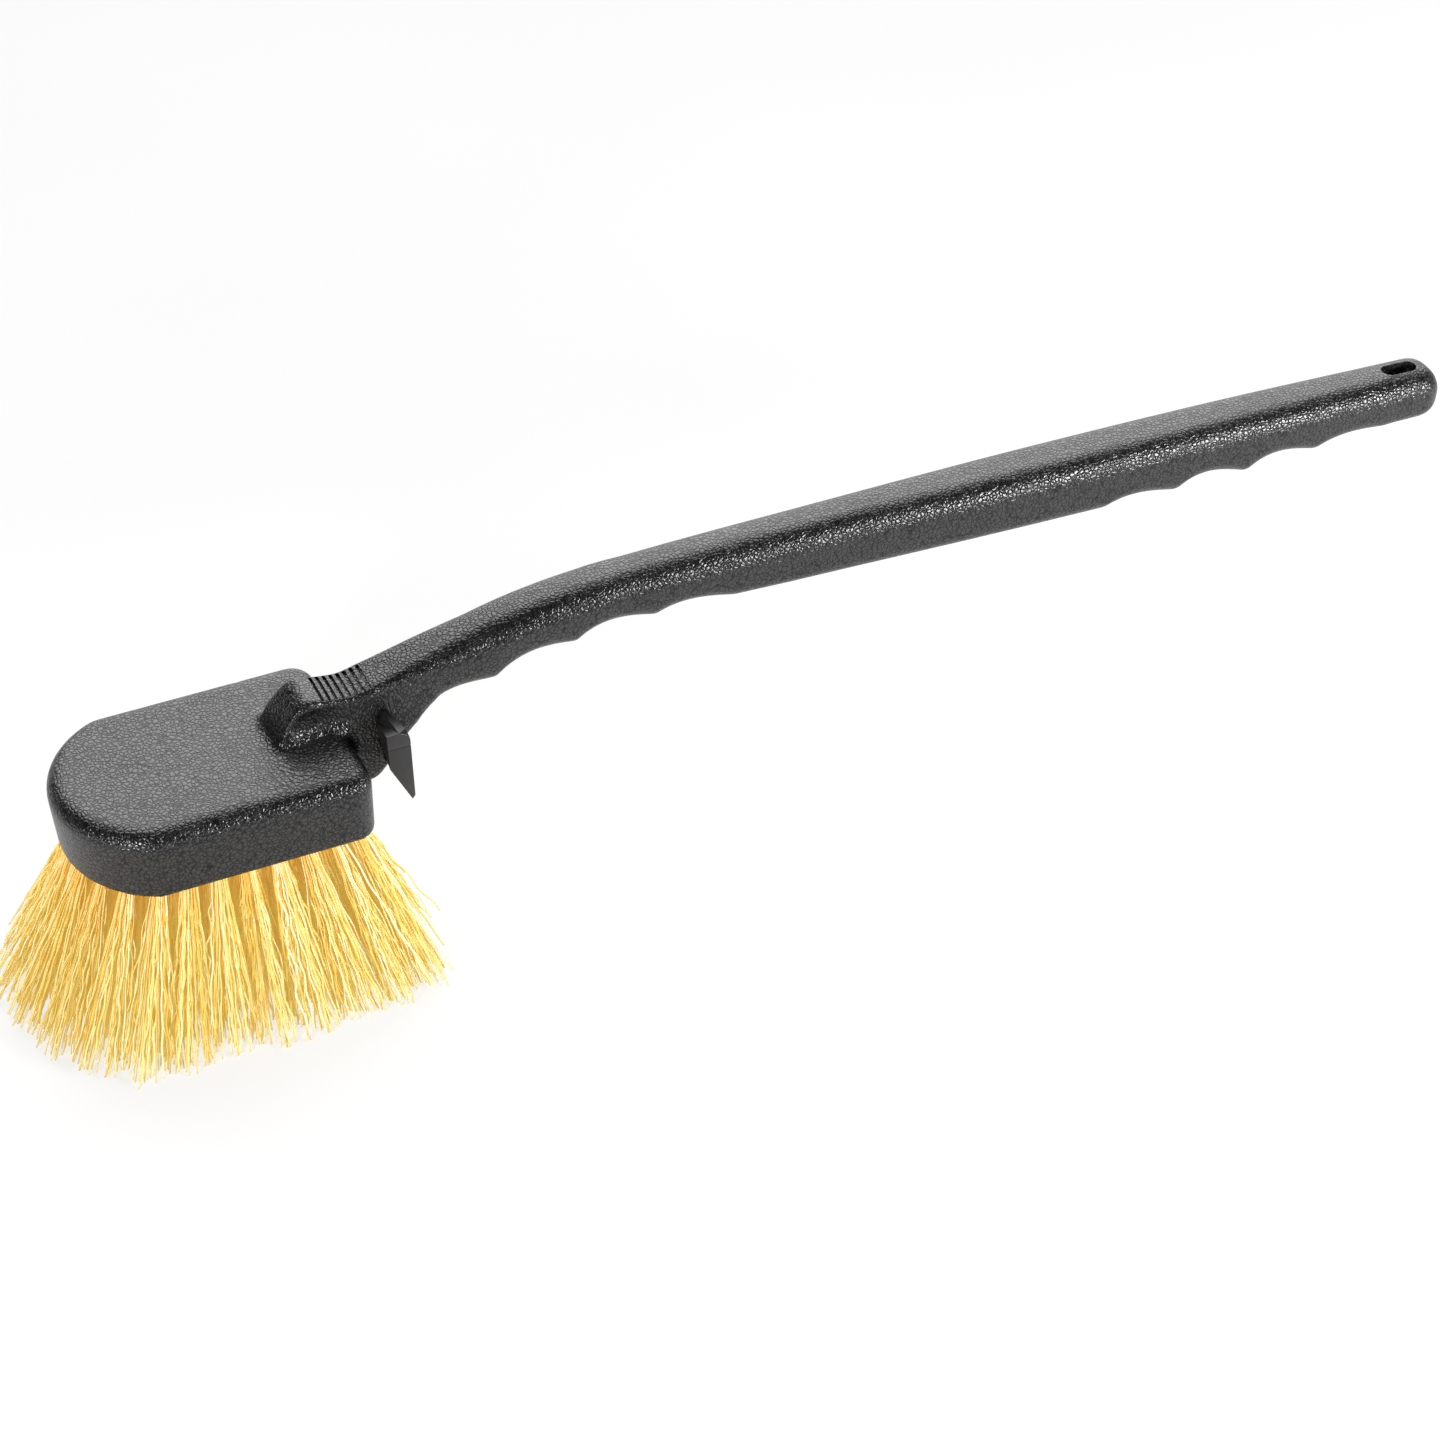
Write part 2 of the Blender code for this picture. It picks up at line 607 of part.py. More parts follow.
def slot_cutter(cutters, root):
    """The obround hole through the end of the handle."""
    radius = SLOT_WIDTH / 2
    straight = SLOT_LENGTH / 2 - radius
    centre = OVERALL_LENGTH - SLOT_CENTRE_FROM_END
    points = []
    for side, start in ((1, -90), (-1, 90)):
        for step in range(2 * ARC_STEPS + 1):
            angle = math.radians(start + 90 * step / ARC_STEPS)
            points.append((centre + side * straight + radius * math.cos(angle), radius * math.sin(angle)))
    deep = 2 * (BLOCK_HEIGHT + HANDLE_RISE)
    return as_cutter(add_object("hang_slot", outline_mesh("hang_slot", points, deep), cutters, root))


def add_body(collection, cutters, root, tools):
    """The moulding: block and handle joined, then every hole, socket, groove and slot cut."""
    body = add_object("block_and_handle", block_mesh(), collection, root, BLACK_PLASTIC)
    handle = as_cutter(add_object("neck_and_handle", handle_mesh(), cutters, root))
    boolean(body, "neck_and_handle", handle, "UNION")
    for tool in (scoop_cutter(cutters, root), rib_cutter(cutters, root), slot_cutter(cutters, root), *tools):
        boolean(body, tool.name, tool, "DIFFERENCE")
    return body


def main():
    clear_scene()
    brush = new_collection("wheel_brush")
    cutters = new_collection("cutters")
    root = bpy.data.objects.new("brush", None)
    brush.objects.link(root)
    places, holes, grooves = add_tufts(brush, cutters, root)
    socket, tang_socket = add_scraper(brush, cutters, root)
    add_body(brush, cutters, root, (holes, grooves, socket, tang_socket))
    nose_end = min(tuft_tip(p)[0] - tip_radius(p, places) for p in places)
    root.location = (-(nose_end + OVERALL_LENGTH) / 2, 0, TRIM_LENGTH)


main()
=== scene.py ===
"""The looks of the long-handled wheel brush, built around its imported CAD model.

Three things are made here: a fine mesh of the moulding, with grain and blended fillets in place of the CAD
solid; the scraper with its facets and crease; and every bristle tuft as a bundle of crimped filaments over
its wire anchor. Lengths are in metres. Shapes are drawn in the brush's own design coordinates (x from the
nose, z from the bristle side of the block) and set into the frame at the corner of the CAD block.
"""

import math
import random

import bmesh
import bpy
import numpy as np
from mathutils import Matrix, Vector


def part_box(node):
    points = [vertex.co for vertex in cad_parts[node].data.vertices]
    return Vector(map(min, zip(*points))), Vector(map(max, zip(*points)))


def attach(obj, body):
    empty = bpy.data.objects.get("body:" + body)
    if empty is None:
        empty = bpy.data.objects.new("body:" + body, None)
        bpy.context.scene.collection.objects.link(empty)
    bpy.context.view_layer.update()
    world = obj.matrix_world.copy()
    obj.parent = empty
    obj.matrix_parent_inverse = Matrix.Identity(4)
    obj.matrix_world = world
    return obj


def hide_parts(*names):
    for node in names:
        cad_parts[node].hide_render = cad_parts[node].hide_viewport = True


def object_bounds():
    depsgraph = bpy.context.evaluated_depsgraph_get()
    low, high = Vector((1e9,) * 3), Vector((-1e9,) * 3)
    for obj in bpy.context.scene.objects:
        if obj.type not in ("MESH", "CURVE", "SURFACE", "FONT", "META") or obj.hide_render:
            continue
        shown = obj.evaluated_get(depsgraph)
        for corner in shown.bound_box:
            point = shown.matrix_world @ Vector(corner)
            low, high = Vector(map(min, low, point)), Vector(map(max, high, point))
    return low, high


MM = 0.001
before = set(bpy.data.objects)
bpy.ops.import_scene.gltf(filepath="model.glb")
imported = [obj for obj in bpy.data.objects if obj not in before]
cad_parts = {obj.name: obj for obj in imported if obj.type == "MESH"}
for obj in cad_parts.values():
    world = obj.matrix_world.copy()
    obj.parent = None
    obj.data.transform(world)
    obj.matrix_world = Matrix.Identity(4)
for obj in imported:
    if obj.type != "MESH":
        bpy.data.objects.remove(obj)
CAD_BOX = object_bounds()
BODY_LOW, BODY_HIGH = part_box("block_and_handle")
TUFT_NODES = sorted(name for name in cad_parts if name.startswith("tuft_"))

# The moulding. The values are those of the CAD source, with three exceptions: the CAD has no NOSE_LEAN, and
# its ribs are 1.1 mm wide and 0.8 mm deep.
OVERALL_LENGTH = BODY_HIGH[0] - BODY_LOW[0]
BLOCK_WIDTH = BODY_HIGH[1] - BODY_LOW[1]
BLOCK_LENGTH = 95 * MM
BLOCK_HEIGHT = 24 * MM
NOSE_FLATNESS = 2.5 * MM
NOSE_BLEND = 12 * MM
NOSE_LEAN = 2.2 * MM
BACK_CORNER_RADIUS = 8 * MM
TOP_EDGE_RADIUS = 6 * MM
HUMP_RISE = 14.3 * MM
THUMB_REST_RISE = 12 * MM
HANDLE_RISE = 29.8 * MM
END_RISE = 24.3 * MM
NECK_HALF_WIDTH = 8 * MM
NECK_FOOT_HALF_WIDTH = 11.5 * MM
NECK_FOOT_GAP = 2.2 * MM
HANDLE_HALF_WIDTH = 9.6 * MM
GRIP_HALF_WIDTH = 11.1 * MM
END_HALF_WIDTH = 9.8 * MM
HANDLE_THICKNESS = 20.5 * MM
GRIP_THICKNESS = 23 * MM
END_THICKNESS = 18.7 * MM
END_ROUNDING = 9 * MM
END_DROP = 1.5 * MM
FINGER_COUNT = 4
FINGER_PITCH = 28 * MM
FINGER_DEPTH = 3.6 * MM
FRONT_FINGER_SHARES = (0.8, 1, 0.95, 0.65)
REAR_FINGER_SHARES = (0.7, 1.15, 1.1, 0.6)
FIRST_FINGER_FROM_BLOCK = 22.4 * MM
LAST_FINGER_FROM_END = 23.5 * MM
FINGER_SKEW = 0.8
RIB_GROOVES = 8
RIB_PITCH = 2.25 * MM
RIB_WIDTH = 1.2 * MM
RIB_DEPTH = 1.1 * MM
RIB_LENGTH = 13 * MM
FIRST_RIB_FROM_BACK = 7.6 * MM
SCOOP_FROM_BACK = 8 * MM
SCOOP_LENGTH = 27 * MM
SCOOP_HEIGHT = 12 * MM
SCOOP_CENTRE_HEIGHT = 31.2 * MM
SCOOP_DEPTH = 1.8 * MM
SCOOP_BULGE = 5.2 * MM
SCOOP_FULLNESS = 0.75
NECK_TOP_RADIUS = 2 * MM
SHOULDER_RADIUS = 7.8 * MM
NECK_BOTTOM_RADIUS = 3 * MM
UNDERSIDE_RADIUS = 6 * MM
SLOT_LENGTH = 13.5 * MM
SLOT_WIDTH = 6.2 * MM
SLOT_CENTRE_FROM_END = 15 * MM
HOLE_RADIUS = 2.8 * MM
HOLE_DEPTH = 15 * MM
CLEARANCE = 0.3 * MM

# The scraper. Its place and reach are those of the CAD source. The outlines are (x, z) in mm from its front
# top corner, at the end face and at the root, and have more facets than the CAD wedge.
SCRAPER_FROM_BACK = 7.3 * MM
SCRAPER_WIDTH = 8 * MM
SCRAPER_TOP = 28.8 * MM
SCRAPER_REACH = 22 * MM
SCRAPER_SEAT = 6.5 * MM
SCRAPER_ROOT_WIDTH_SHARE = 0.3
SCRAPER_ROOT_HEIGHT_SHARE = 0.76
SCRAPER_END = ((0, 0), (0.6, -13.4), (7.5, -27.8), (8.5, -26.4), (7.9, -3.4), (7.6, -1.9), (4.3, 0.3))
SCRAPER_ROOT = ((-4, -6), (-2, -13.4), (5, -27.8), (6.5, -26.4), (6, -3.4), (5.6, 0.1), (0.5, 0.3))
SCRAPER_PEAK = (7.3, 0.1, 0.12)
SCRAPER_SOCKET_GAP = 0.25 * MM
SCRAPER_EDGE_BEVEL = 0.14 * MM
CREASE_WIDTH = 0.3 * MM
CREASE_BELOW_TOP = 5.6 * MM

# How finely the moulding is meshed
ARC_STEPS = 10
VOXEL = 0.8 * MM
SMOOTH_STEPS = 6
FILLET_REACH = 6.5 * MM
FILLET_STEPS = 60

# Bristles
OUTER_RING = 26
FILAMENTS_OUTER = 76
FILAMENTS_INNER = 52
FILAMENT_RADIUS = 0.33 * MM
TIP_SPREAD = 1.4
TRIM_VARIATION = 1.6 * MM
STRAY_SHARE = 0.05
WAVE_LENGTH = 14 * MM
WAVE_HEIGHT = 0.5 * MM


# ---------------------------------------------------------------- helpers

def place(obj):
    """Sets a shape drawn in design coordinates into the frame."""
    obj.data.transform(Matrix.Translation((BODY_LOW[0], 0, BODY_LOW[2])))
    return obj


def add(name, mesh, *materials):
    obj = bpy.data.objects.new(name, mesh)
    bpy.context.scene.collection.objects.link(obj)
    for material in materials:
        mesh.materials.append(material)
    return obj


def mesh_of(name, bm):
    mesh = bpy.data.meshes.new(name)
    bmesh.ops.recalc_face_normals(bm, faces=bm.faces)
    bm.to_mesh(mesh)
    bm.free()
    return mesh


def apply_modifiers(obj):
    bpy.context.view_layer.update()
    graph = bpy.context.evaluated_depsgraph_get()
    mesh = bpy.data.meshes.new_from_object(obj.evaluated_get(graph))
    obj.modifiers.clear()
    obj.data = mesh
    return obj


def cut(obj, tool, operation="DIFFERENCE"):
    modifier = obj.modifiers.new("cut", "BOOLEAN")
    modifier.object = tool
    modifier.operation = operation
    apply_modifiers(obj)
    bpy.data.objects.remove(tool)


def shade(obj, sharp_angle=38):
    obj.data.shade_smooth()
    obj.data.set_sharp_from_angle(angle=math.radians(sharp_angle))


def smooth(stations, x):
    """A smooth line through the stations (x, value), held level beyond the ends."""
    if x <= stations[0][0]:
        return stations[0][1]
    if x >= stations[-1][0]:
        return stations[-1][1]

    def slope(i):
        before, after = stations[max(i - 1, 0)], stations[min(i + 1, len(stations) - 1)]
        return (after[1] - before[1]) / (after[0] - before[0])

    i = max(k for k in range(len(stations) - 1) if stations[k][0] <= x)
    (x0, v0), (x1, v1) = stations[i], stations[i + 1]
    span = x1 - x0
    t = (x - x0) / span
    return ((2 * t**3 - 3 * t**2 + 1) * v0 + (t**3 - 2 * t**2 + t) * span * slope(i)
            + (3 * t**2 - 2 * t**3) * v1 + (t**3 - t**2) * span * slope(i + 1))


# ---------------------------------------------------------------- moulding: profiles, as in the CAD source

def handle_top(x):
    back, top, end = BLOCK_LENGTH, BLOCK_HEIGHT, OVERALL_LENGTH
    return smooth([
        (back - 29.5 * MM, top - 7 * MM),
        (back - 24.5 * MM, top + 1 * MM),
        (back - 19.5 * MM, top + 0.65 * HUMP_RISE),
        (back - 13.5 * MM, top + HUMP_RISE),
        (back - 7 * MM, top + 0.5 * (HUMP_RISE + THUMB_REST_RISE)),
        (back + 1.5 * MM, top + THUMB_REST_RISE),
        (back + 9.5 * MM, top + THUMB_REST_RISE + 1.6 * MM),
        (back + 30.5 * MM, top + THUMB_REST_RISE + 0.42 * (HANDLE_RISE - THUMB_REST_RISE)),
        (back + 59.5 * MM, top + THUMB_REST_RISE + 0.8 * (HANDLE_RISE - THUMB_REST_RISE)),
        (back + 87.5 * MM, top + HANDLE_RISE - 0.4 * MM),
        (back + 160 * MM, top + HANDLE_RISE + 0.2 * MM),
        (end - 98 * MM, top + 0.4 * HANDLE_RISE + 0.6 * END_RISE + 0.9 * MM),
        (end, top + END_RISE),
    ], x)


def thickness(x):
    back, top, end = BLOCK_LENGTH, BLOCK_HEIGHT, OVERALL_LENGTH
    foot = top + THUMB_REST_RISE - NECK_FOOT_GAP
    return smooth([
        (back - 29.5 * MM, 10 * MM),
        (back - 12.5 * MM, foot - 4 * MM),
        (back + 2 * MM, foot),
        (back + 9 * MM, foot + 0.3 * MM),
        (back + 20 * MM, 0.7 * foot + 0.6 * MM),
        (back + 32 * MM, HANDLE_THICKNESS + 0.3 * MM),
        (back + 50.5 * MM, HANDLE_THICKNESS + 0.6 * MM),
        (back + 106 * MM, HANDLE_THICKNESS - 1.1 * MM),
        (back + 160 * MM, HANDLE_THICKNESS + 0.8 * MM),
        (end - 140 * MM, GRIP_THICKNESS),
        (end - 80 * MM, GRIP_THICKNESS),
        (end - 20 * MM, END_THICKNESS),
    ], x)


def top_half_width(x):
    back, end = BLOCK_LENGTH, OVERALL_LENGTH
    return smooth([
        (back - 29.5 * MM, NECK_HALF_WIDTH + 3 * MM),
        (back - 22 * MM, NECK_HALF_WIDTH + 1.2 * MM),
        (back - 12.5 * MM, NECK_HALF_WIDTH),
        (back + 9.5 * MM, NECK_HALF_WIDTH + 0.2 * MM),
        (back + 50 * MM, HANDLE_HALF_WIDTH + 0.3 * MM),
        (back + 105 * MM, HANDLE_HALF_WIDTH),
        (back + 160 * MM, HANDLE_HALF_WIDTH + 0.3 * MM),
        (end - 170 * MM, GRIP_HALF_WIDTH),
        (end - 95 * MM, GRIP_HALF_WIDTH),
        (end - 10 * MM, END_HALF_WIDTH),
    ], x)


def bottom_half_width(x):
    back = BLOCK_LENGTH
    if x >= back + 30 * MM:
        return top_half_width(x) - 0.4 * MM
    return smooth([
        (back - 29.5 * MM, NECK_FOOT_HALF_WIDTH + 2 * MM),
        (back - 10 * MM, NECK_FOOT_HALF_WIDTH + 0.8 * MM),
        (back + 8 * MM, NECK_FOOT_HALF_WIDTH - 1 * MM),
        (back + 30 * MM, HANDLE_HALF_WIDTH - 0.2 * MM),
    ], x)


def scallop(x):
    """How far the finger scallops rise above the handle's plain underside."""
    rear = OVERALL_LENGTH - LAST_FINGER_FROM_END - FINGER_COUNT * FINGER_PITCH
    front = BLOCK_LENGTH + FIRST_FINGER_FROM_BLOCK
    for start, shares in ((front, FRONT_FINGER_SHARES), (rear, REAR_FINGER_SHARES)):
        along = (x - start) / FINGER_PITCH
        if 0 < along < FINGER_COUNT:
            return FINGER_DEPTH * shares[int(along)] * math.sin(math.pi * (along % 1) ** FINGER_SKEW)
    return 0.0


def section(x):
    """The closed section of the neck or handle at x, as (y, z) points."""
    back = BLOCK_LENGTH
    top, bottom = handle_top(x), handle_top(x) - thickness(x) + scallop(x)
    wide, low = top_half_width(x), bottom_half_width(x)
    limit = 0.45 * (top - bottom)
    top_r = min(limit, smooth([(back + 8 * MM, NECK_TOP_RADIUS), (back + 45 * MM, SHOULDER_RADIUS)], x))
    low_stations = [(back + 8 * MM, NECK_BOTTOM_RADIUS), (back + 30 * MM, UNDERSIDE_RADIUS)]
    bottom_r = min(limit, smooth(low_stations, x))
    corners = [
        (low - bottom_r, bottom + bottom_r, bottom_r, -90),
        (wide - top_r, top - top_r, top_r, 0),
        (top_r - wide, top - top_r, top_r, 90),
        (bottom_r - low, bottom + bottom_r, bottom_r, 180),
    ]
    points = []
    for y, z, radius, start in corners:
        for step in range(ARC_STEPS + 1):
            angle = math.radians(start + 90 * step / ARC_STEPS)
            points.append((y + radius * math.cos(angle), z + radius * math.sin(angle)))
    return points


def neck_and_handle():
    """The neck and handle as a fine loft with a rounded far end."""
    start, end = BLOCK_LENGTH - 29.5 * MM, OVERALL_LENGTH - END_ROUNDING
    count = round((end - start) / (1.4 * MM))
    rings = []
    for i in range(count + 1):
        x = start + (end - start) * i / count
        rings.append([(x, y, z) for y, z in section(x)])
    last = rings[-1]
    centre_z = sum(z for _, _, z in last) / len(last) - END_DROP
    for step in range(1, ARC_STEPS + 1):
        angle = math.radians(90 * step / (ARC_STEPS + 0.6))
        x = end + END_ROUNDING * math.sin(angle)
        shrink = math.cos(angle) ** 0.8
        rings.append([(x, y * shrink, centre_z + (z - centre_z) * shrink) for _, y, z in last])
    bm = bmesh.new()
    loops = [[bm.verts.new(point) for point in ring] for ring in rings]
    for one, two in zip(loops, loops[1:]):
        for i in range(len(one)):
            j = (i + 1) % len(one)
            bm.faces.new((one[i], one[j], two[j], two[i]))
    bm.faces.new(loops[0])
    bm.faces.new(loops[-1])
    return mesh_of("neck_and_handle", bm)


def block():
    """The block: its outline extruded, with the top edge rounded over."""
    half = BLOCK_WIDTH / 2
    nose = half + NOSE_FLATNESS
    blend_y = half - NOSE_BLEND
    blend_x = nose - math.sqrt((nose - NOSE_BLEND) ** 2 - blend_y ** 2)
    meet = math.atan2(blend_y, nose - blend_x)
    corner_x, corner_y = BLOCK_LENGTH - BACK_CORNER_RADIUS, half - BACK_CORNER_RADIUS
    steps = 2 * ARC_STEPS
    side = []
    for i in range(steps + 1):
        angle = meet * i / steps
        side.append((nose * (1 - math.cos(angle)), nose * math.sin(angle)))
    for i in range(1, ARC_STEPS + 1):
        angle = meet + (math.pi / 2 - meet) * i / ARC_STEPS
        side.append((blend_x - NOSE_BLEND * math.cos(angle), blend_y + NOSE_BLEND * math.sin(angle)))
    for i in range(ARC_STEPS + 1):
        angle = math.pi / 2 * (1 - i / ARC_STEPS)
        side.append((corner_x + BACK_CORNER_RADIUS * math.cos(angle),
                     corner_y + BACK_CORNER_RADIUS * math.sin(angle)))
    outline = side + [(x, -y) for x, y in reversed(side[1:])]
    bm = bmesh.new()
    base = bm.faces.new([bm.verts.new((x, y, 0)) for x, y in outline])
    raised = bmesh.ops.extrude_face_region(bm, geom=[base])["geom"]
    bmesh.ops.translate(bm, verts=[g for g in raised if isinstance(g, bmesh.types.BMVert)],
                        vec=(0, 0, BLOCK_HEIGHT))
    bmesh.ops.recalc_face_normals(bm, faces=bm.faces)
    top = [e for e in bm.edges if min(v.co.z for v in e.verts) > BLOCK_HEIGHT / 2]
    bmesh.ops.bevel(bm, geom=top, offset=TOP_EDGE_RADIUS, segments=ARC_STEPS, profile=0.5, affect="EDGES")
    # The nose wall leans out towards the top.
    for vertex in bm.verts:
        x, _, z = vertex.co
        vertex.co.x -= NOSE_LEAN * (z / BLOCK_HEIGHT - 0.45) * max(0, 1 - x / nose) ** 0.7
    return mesh_of("block", bm)


def near_foot(point):
    """How strongly the blend of neck and block acts at a point: 1 on the joint line, 0 beyond the reach."""
    x, y, z = point
    front = BLOCK_LENGTH - 25 * MM
    if x < BLOCK_LENGTH:
        foot = bottom_half_width(x)
        sideways = abs(abs(y) - foot)
        if x < front:
            sideways = math.hypot(front - x, max(0, abs(y) - foot))
        elif x < front + 2 * MM:
            sideways = min(sideways, abs(x - front))
        distance = math.hypot(sideways, z - BLOCK_HEIGHT)
    else:
        distance = math.hypot(x - BLOCK_LENGTH, abs(abs(y) - bottom_half_width(x))) * 1.6
    return max(0.0, 1 - distance / FILLET_REACH)


def rib_cutter():
    bm = bmesh.new()
    for i in range(RIB_GROOVES):
        x = BLOCK_LENGTH - FIRST_RIB_FROM_BACK + i * RIB_PITCH
        rise = math.atan2(handle_top(x + 1 * MM) - handle_top(x - 1 * MM), 2 * MM)
        at = Matrix.Translation((x, 0, handle_top(x))) @ Matrix.Rotation(-rise, 4, "Y")
        size = Matrix.Diagonal((RIB_WIDTH, RIB_LENGTH, 2 * RIB_DEPTH, 1))
        bmesh.ops.create_cube(bm, size=1, matrix=at @ size)
    uprights = [e for e in bm.edges if abs((e.verts[0].co - e.verts[1].co).z) > RIB_DEPTH]
    bmesh.ops.bevel(bm, geom=uprights, offset=0.35 * RIB_WIDTH, segments=3, profile=0.5, affect="EDGES")
    return add("rib_cutter", mesh_of("rib_cutter", bm))


def scoop_cutter():
    """A full-bellied hollow in each side of the neck, between the hump and the scraper."""
    x = BLOCK_LENGTH - SCOOP_FROM_BACK
    wall = 0.8 * top_half_width(x) + 0.2 * bottom_half_width(x)
    size = Vector((SCOOP_LENGTH / 2, SCOOP_BULGE, SCOOP_HEIGHT / 2))
    bm = bmesh.new()
    for side in (-1, 1):
        centre = Vector((x, side * (wall + SCOOP_BULGE - SCOOP_DEPTH), SCOOP_CENTRE_HEIGHT))
        ball = bmesh.ops.create_uvsphere(bm, u_segments=64, v_segments=32, radius=1)["verts"]
        for vertex in ball:
            full = [math.copysign(abs(c) ** SCOOP_FULLNESS, c) for c in vertex.co]
            vertex.co = centre + Vector(full) * size
    return add("scoop_cutter", mesh_of("scoop_cutter", bm))


def slot_cutter():
    radius = SLOT_WIDTH / 2
    straight = SLOT_LENGTH / 2 - radius
    centre = OVERALL_LENGTH - SLOT_CENTRE_FROM_END
    bm = bmesh.new()
    points = []
    for side, start in ((1, -90), (-1, 90)):
        for step in range(2 * ARC_STEPS + 1):
            angle = math.radians(start + 90 * step / ARC_STEPS)
            points.append((centre + side * straight + radius * math.cos(angle), radius * math.sin(angle), 0))
    face = bm.faces.new([bm.verts.new(p) for p in points])
    raised = bmesh.ops.extrude_face_region(bm, geom=[face])["geom"]
    bmesh.ops.translate(bm, verts=[g for g in raised if isinstance(g, bmesh.types.BMVert)],
                        vec=(0, 0, 2 * (BLOCK_HEIGHT + HANDLE_RISE)))
    return add("slot_cutter", mesh_of("slot_cutter", bm))


def hole_cutter():
    bm = bmesh.new()
    for node in TUFT_NODES:
        root, _, _ = tuft_ends(node)
        at = Matrix.Translation((root.x - BODY_LOW[0], root.y, HOLE_DEPTH / 2 - 1 * MM))
        bmesh.ops.create_cone(bm, cap_ends=True, segments=20, radius1=HOLE_RADIUS, radius2=HOLE_RADIUS,
                              depth=HOLE_DEPTH + 2 * MM, matrix=at)
    return add("hole_cutter", mesh_of("hole_cutter", bm))


def scraper_mesh(name, grow=0.0):
    """The scraper: a flat end face, a narrow top strip, a notch in front of it, and a slim root."""
    middle = SCRAPER_WIDTH / 2

    def at(x, z, inward=0.0):
        """A point of the outline, in mm, at a share of the way inward from the end face to the root."""
        wide = 1 - (1 - SCRAPER_ROOT_WIDTH_SHARE) * inward
        high = 1 - (1 - SCRAPER_ROOT_HEIGHT_SHARE) * inward
        return Vector((BLOCK_LENGTH + SCRAPER_FROM_BACK + middle + (x * MM - middle) * wide,
                       -SCRAPER_REACH + (SCRAPER_REACH - SCRAPER_SEAT) * inward, SCRAPER_TOP + z * MM * high))

    bm = bmesh.new()
    a, b, c, d, e, f, g = [bm.verts.new(at(x, z)) for x, z in SCRAPER_END]
    h = bm.verts.new(at(*SCRAPER_PEAK))
    notch, b2, c2, d2, e2, n1, n2 = [bm.verts.new(at(x, z, 1)) for x, z in SCRAPER_ROOT]
    loops = (
        (a, b, c, d, e, f, g), (g, f, h), (g, h, n1, n2), (g, n2, notch), (a, g, notch), (a, notch, b2, b),
        (b, b2, c2, c), (c, c2, d2, d), (d, d2, e2, e), (e, e2, n1, h, f), (notch, n2, n1, e2, d2, c2, b2),
    )
    for loop in loops:
        bm.faces.new(loop)
    bmesh.ops.recalc_face_normals(bm, faces=bm.faces)
    bm.normal_update()
    for vertex in bm.verts:
        vertex.co += vertex.normal * grow
    uneven = [face for face in bm.faces if len(face.verts) > 3 and a not in face.verts]
    bmesh.ops.triangulate(bm, faces=uneven)
    return mesh_of(name, bm)


def scraper(material):
    piece = add("scraper_blade", scraper_mesh("scraper_blade"))
    line = bmesh.new()
    middle = BLOCK_LENGTH + SCRAPER_FROM_BACK + 4.2 * MM
    across = Matrix.Translation((middle, -SCRAPER_REACH, SCRAPER_TOP - CREASE_BELOW_TOP))
    size = Matrix.Diagonal((12 * MM, CREASE_WIDTH, CREASE_WIDTH, 1))
    bmesh.ops.create_cube(line, size=1, matrix=across @ size)
    cut(piece, add("crease", mesh_of("crease", line)))
    bevel = piece.modifiers.new("edges", "BEVEL")
    bevel.width = SCRAPER_EDGE_BEVEL
    bevel.segments = 2
    bevel.limit_method = "ANGLE"
    bevel.angle_limit = math.radians(12)
    apply_modifiers(piece)
    shade(piece, 25)
    piece.data.materials.clear()
    piece.data.materials.append(material)
    return place(piece)


def moulding(material):
    """Block, neck and handle as one mesh: joined, remeshed, blended at the neck's foot, then cut."""
    body = add("moulding", block())
    cut(body, add("handle_tool", neck_and_handle()), "UNION")
    cut(body, scoop_cutter())
    remesh = body.modifiers.new("remesh", "REMESH")
    remesh.mode = "VOXEL"
    remesh.voxel_size = VOXEL
    apply_modifiers(body)
    group = body.vertex_groups.new(name="foot")
    for vertex in body.data.vertices:
        if vertex.co.x < BLOCK_LENGTH + FILLET_REACH:
            weight = near_foot(vertex.co)
            if weight > 0:
                group.add([vertex.index], weight, "REPLACE")
    for name, steps, limit in (("grain", SMOOTH_STEPS, ""), ("blend", FILLET_STEPS, "foot")):
        modifier = body.modifiers.new(name, "SMOOTH")
        modifier.factor = 0.5
        modifier.iterations = steps
        modifier.vertex_group = limit
    apply_modifiers(body)
    body.vertex_groups.clear()
    for tool in (rib_cutter(), slot_cutter(), hole_cutter(),
                 add("scraper_socket", scraper_mesh("scraper_socket", SCRAPER_SOCKET_GAP))):
        cut(body, tool)
    shade(body)
    body.data.materials.append(material)
    return place(body)


# ---------------------------------------------------------------- materials

BRISTLE_TONES = [(0.0, (0.62, 0.36, 0.04)), (0.35, (0.74, 0.55, 0.13)), (0.7, (0.79, 0.67, 0.30)),
                 (1.0, (0.86, 0.82, 0.58))]
BRISTLE_TIP_TONE = (0.74, 0.66, 0.42, 1)
# Painted light: the bristles glow in these colours, orange at the roots and yellow higher up, in place of
# light shining through and between the filaments.
BRISTLE_ROOT_PAINTED_LIGHT = (0.85, 0.30, 0.02, 1)
BRISTLE_PAINTED_LIGHT = (0.80, 0.60, 0.14, 1)
BRISTLE_PAINTED_LIGHT_STRENGTH = 0.27
GRAIN_SCALE = 700.0
GRAIN_HEIGHT = 0.00014
FLOOR_GLOW = 0.68


def grey(value):
    return (value, value, value)


